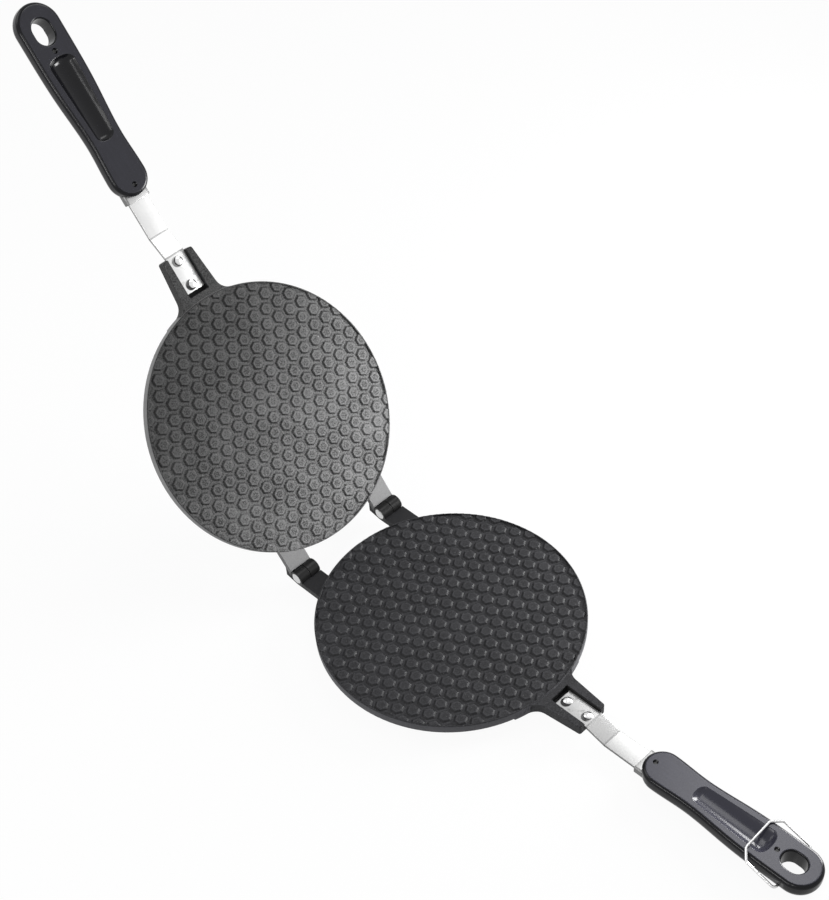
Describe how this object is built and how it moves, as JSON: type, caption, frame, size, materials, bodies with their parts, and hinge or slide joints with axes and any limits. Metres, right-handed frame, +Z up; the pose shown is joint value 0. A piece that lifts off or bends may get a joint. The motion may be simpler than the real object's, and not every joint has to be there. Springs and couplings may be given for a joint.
{
  "type": "waffle cone iron",
  "caption": "Hand-held hob iron for wafer cones: two hinged round cast plates with honeycomb faces, steel straps, moulded handles and a wire latch.",
  "frame": {"origin": "centre of the lower plate's foot ring, on the plane that it stands on", "axes": "+Z up out of the lower cooking face, -Y along the lower handle, +Y towards the hinge, +X along the hinge axis"},
  "size_m": [0.17, 0.6076, 0.3054],
  "materials": {
    "cast_nonstick": "dark bluish non-stick coat on cast aluminium, fine cast grain",
    "cast_nonstick_upper": "charcoal matt non-stick coat on cast aluminium, fine grain",
    "stainless": "brushed stainless steel",
    "bright_steel": "bright steel wire and pins",
    "dark_steel": "blackened steel pins",
    "bakelite": "glossy black moulded bakelite"
  },
  "bodies": {
    "lower": {"lower_plate": "cast_nonstick", "lower_strap": "stainless", "lower_rivet_inner": "stainless", "lower_rivet_outer": "stainless", "lower_collar": "stainless", "lower_handle": "bakelite", "lower_handle_pin_front": "dark_steel", "lower_handle_pin_rear": "dark_steel", "hinge_pin_left": "bright_steel", "hinge_pin_right": "bright_steel"},
    "lid": {"upper_plate": "cast_nonstick_upper", "upper_strap": "stainless", "upper_rivet_inner": "stainless", "upper_rivet_outer": "stainless", "upper_collar": "stainless", "upper_handle": "bakelite", "upper_handle_pin_front": "dark_steel", "upper_handle_pin_rear": "dark_steel"},
    "latch": {"latch_bail": "bright_steel"}
  },
  "joints": [
    {"name": "lid_hinge", "type": "hinge", "parent": "lower", "child": "lid", "pos_m": [0, 0.0924, 0.0148], "axis": [1, 0, 0], "range_deg": [0, 128]},
    {"name": "latch_hinge", "type": "hinge", "parent": "lower", "child": "latch", "pos_m": [0, -0.261, 0.0071], "axis": [1, 0, 0], "range_deg": [0, 326]}
  ]
}
